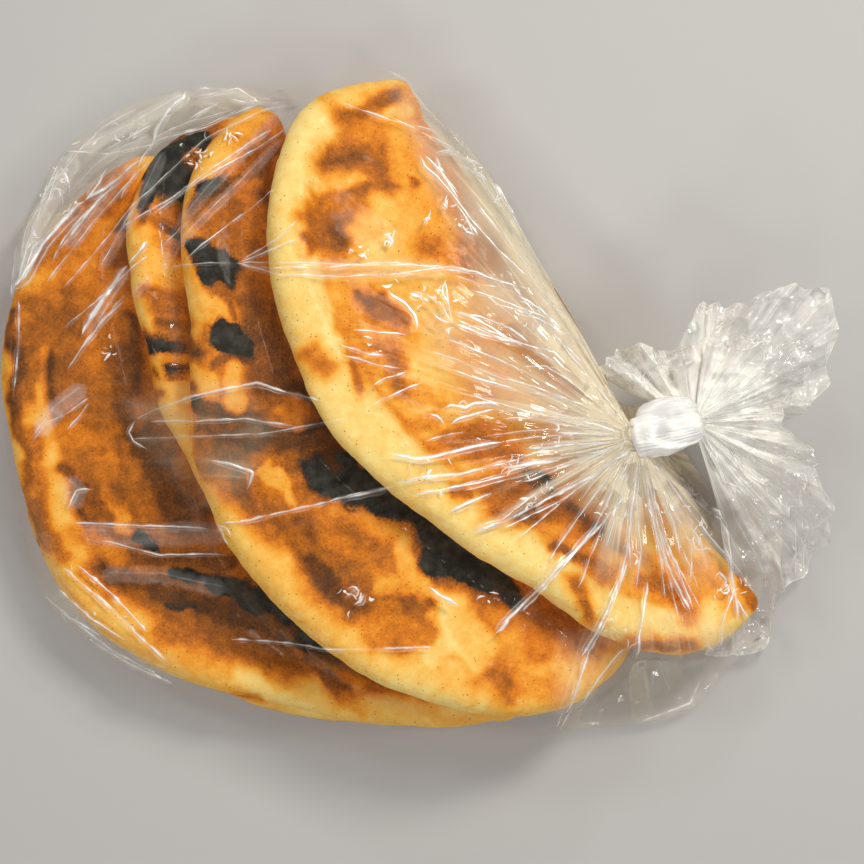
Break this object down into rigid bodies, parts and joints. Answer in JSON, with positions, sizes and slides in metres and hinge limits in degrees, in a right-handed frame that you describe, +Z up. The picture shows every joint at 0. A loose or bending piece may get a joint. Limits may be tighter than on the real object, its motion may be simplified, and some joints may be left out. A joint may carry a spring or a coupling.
{
  "type": "tied clear bag of folded flatbreads",
  "caption": "Clear plastic bag of charred, folded pizza-dough flatbreads, tied with an overhand knot and lying flat with its crumpled frill to one side.",
  "frame": {"origin": "on the flat underside that the bag rests on, within 3 mm of under the middle of its box", "axes": "+X towards the knot and frill, +Y across the bag towards the highest bread's upper end, +Z up through the shown side"},
  "size_m": [0.339, 0.2773, 0.0784],
  "materials": {
    "film": "thin clear polythene film, glossy, creased and slightly milky, whitest at the knot",
    "crust": "matt wood-fired pizza dough, pale cream rims, orange-brown toast and black char blisters"
  },
  "bodies": {
    "root": {"bag": "film"}
  },
  "joints": []
}
